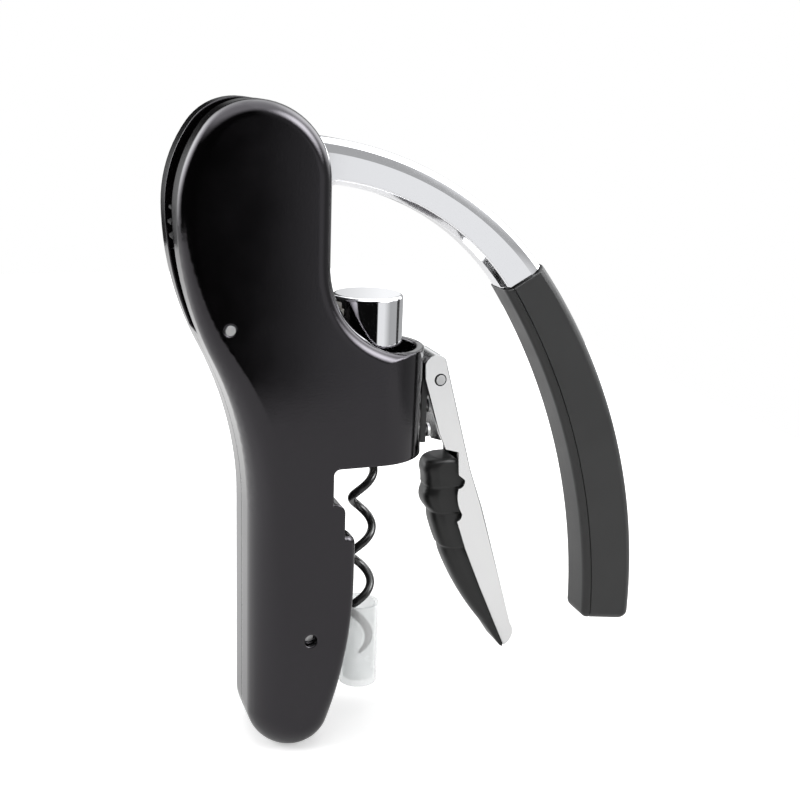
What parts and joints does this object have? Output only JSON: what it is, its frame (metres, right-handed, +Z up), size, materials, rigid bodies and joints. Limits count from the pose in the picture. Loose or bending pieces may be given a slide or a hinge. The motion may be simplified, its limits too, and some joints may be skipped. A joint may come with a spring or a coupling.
{
  "type": "lever corkscrew",
  "caption": "Upright lever corkscrew: half-round neck shell with collar, geared lever, rack carriage with screw worm, and a spring-open clamping trigger.",
  "frame": {"origin": "where the worm's axis meets the plane of the bottle mouth, at the collar's underside", "axes": "+Z up along the worm, +X forward to the trigger, +Y to the left; the XZ plane is the mirror plane"},
  "size_m": [0.1593, 0.0356, 0.201],
  "materials": {
    "housing_plastic": "smooth satin black",
    "grip_plastic": "satin black",
    "chrome": "polished",
    "worm_steel": "black low-friction coating",
    "pin_steel": "turned",
    "spring_steel": "pressed",
    "dark_steel": "black oxide",
    "bush_brass": "turned",
    "inner_plastic": "natural moulding",
    "soft_rubber": "matt",
    "clear_plastic": "clear moulding",
    "trigger_metal": "polished plate"
  },
  "bodies": {
    "housing": {"housing_right": "housing_plastic", "housing_left": "housing_plastic", "upper_cross_pin": "pin_steel", "lower_cross_pin": "pin_steel", "axle_bush_left": "bush_brass", "axle_bush_right": "bush_brass", "trigger_bracket": "spring_steel", "bracket_rivets": "pin_steel", "trigger_pin": "pin_steel", "trigger_spring": "spring_steel", "neck_pad": "soft_rubber", "worm_nut": "inner_plastic", "nut_ring": "spring_steel"},
    "lever": {"lever_arm": "chrome", "lever_grip": "grip_plastic", "gear_sector": "dark_steel", "sector_rivets": "pin_steel", "lever_axle": "pin_steel", "thrust_washer_left": "inner_plastic", "thrust_washer_right": "inner_plastic"},
    "carriage": {"rack": "dark_steel", "rack_screws": "pin_steel", "carrier_body": "inner_plastic", "carrier_cap": "chrome", "worm_bearing": "bush_brass"},
    "worm": {"worm": "worm_steel", "worm_clip": "spring_steel"},
    "sleeve": {"worm_sleeve": "clear_plastic"},
    "trigger": {"trigger": "trigger_metal", "trigger_pad": "soft_rubber"}
  },
  "joints": [
    {"name": "lever", "type": "hinge", "parent": "housing", "child": "lever", "pos_m": [-0.03866, 0, 0.072], "axis": [0, -1, 0], "range_deg": [0, 190]},
    {"name": "carrier_slide", "type": "slide", "parent": "housing", "child": "carriage", "axis": [0, 0, 1], "range_m": [0, 0.06642]},
    {"name": "worm_spin", "type": "hinge", "parent": "carriage", "child": "worm", "pos_m": [0, 0, 0], "axis": [0, 0, 1], "range_deg": [0, 1238.1]},
    {"name": "sleeve_slide", "type": "slide", "parent": "housing", "child": "sleeve", "axis": [0, 0, 1], "range_m": [0, 0.0521]},
    {"name": "trigger", "type": "hinge", "parent": "housing", "child": "trigger", "pos_m": [0.0223, 0, 0.0231], "axis": [0, 1, 0], "range_deg": [0, 15], "stiffness_Nm_per_rad": 0.05, "springref_deg": -17.19, "deforming": ["trigger_spring"]}
  ],
  "couplings": [
    {"joint": "carrier_slide", "follows": "lever", "m_per_rad": 0.02},
    {"joint": "worm_spin", "follows": "lever", "ratio": 6.5111},
    {"joint": "sleeve_slide", "follows": "lever", "m_per_rad": 0.015681}
  ]
}
